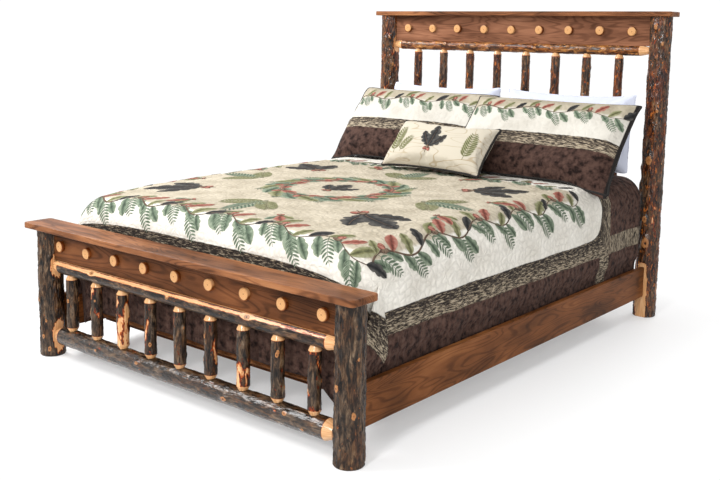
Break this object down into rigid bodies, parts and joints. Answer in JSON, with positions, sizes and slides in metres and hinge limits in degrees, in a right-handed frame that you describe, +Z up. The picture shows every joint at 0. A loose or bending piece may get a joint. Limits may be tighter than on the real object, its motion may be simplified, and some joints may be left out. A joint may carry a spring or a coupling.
{
  "type": "rustic log bed",
  "caption": "Queen-size rustic log bed with bark-on posts, rails and spindles, walnut caps, panels and side rails, slatted base, mattress, quilt and pillows.",
  "frame": {"origin": "on the floor, at the middle of the bed's outer box", "axes": "+Z up, +Y from the footboard towards the headboard, +X to the right as seen from the foot"},
  "size_m": [1.72, 2.319, 1.44],
  "materials": {
    "bark_log": "hickory bark under clear lacquer, peeled knots and cone ends",
    "walnut": "stained walnut plank, satin lacquer",
    "log_slice": "end-grain log slice, satin lacquer",
    "peeled_wood": "peeled hickory",
    "slat_wood": "stained softwood",
    "steel": "zinc-plated pressed steel",
    "foundation_cloth": "woven foundation cover",
    "mattress_cloth": "quilted ticking",
    "quilt_cotton": "stitched cotton quilt with tan field, cream border and dark brown edge",
    "white_cotton": "plain white cotton",
    "sham_cotton": "stitched cotton sham with dark binding",
    "throw_cotton": "printed canvas cushion with black piping"
  },
  "bodies": {
    "bed": {"centre_leg": "peeled_wood", "cleat_screws": "steel", "cross_beam_foot": "slat_wood", "cross_beam_head": "slat_wood", "cross_beam_middle": "slat_wood", "foot_buttons": "log_slice", "foot_cap": "walnut", "foot_cap_dowels": "peeled_wood", "foot_lower_rail": "bark_log", "foot_panel": "walnut", "foot_post_left": "bark_log", "foot_post_right": "bark_log", "foot_spindle_1": "bark_log", "foot_spindle_2": "bark_log", "foot_spindle_3": "bark_log", "foot_spindle_4": "bark_log", "foot_spindle_5": "bark_log", "foot_spindle_6": "bark_log", "foot_spindle_7": "bark_log", "foot_spindle_8": "bark_log", "foot_spindle_9": "bark_log", "foot_upper_rail": "bark_log", "foundation": "foundation_cloth", "head_buttons": "log_slice", "head_cap": "walnut", "head_cap_dowels": "peeled_wood", "head_lower_rail": "bark_log", "head_panel": "walnut", "head_post_left": "bark_log", "head_post_right": "bark_log", "head_spindle_1": "bark_log", "head_spindle_2": "bark_log", "head_spindle_3": "bark_log", "head_spindle_4": "bark_log", "head_spindle_5": "bark_log", "head_spindle_6": "bark_log", "head_spindle_7": "bark_log", "head_spindle_8": "bark_log", "head_upper_rail": "bark_log", "hook_plate_screws": "steel", "hook_plates": "steel", "mattress": "mattress_cloth", "pillow_left": "white_cotton", "pillow_right": "white_cotton", "quilt": "quilt_cotton", "rail_cleat_left": "slat_wood", "rail_cleat_right": "slat_wood", "sham_left": "sham_cotton", "sham_right": "sham_cotton", "side_rail_left": "walnut", "side_rail_right": "walnut", "slats": "slat_wood", "slotted_plate_screws": "steel", "slotted_plates": "steel"},
    "throw_pillow": {"throw_pillow": "throw_cotton"}
  },
  "joints": [
    {"name": "throw_pillow_lift", "type": "slide", "parent": "bed", "child": "throw_pillow", "axis": [0, 0, 1], "range_m": [0, 0.4]}
  ]
}
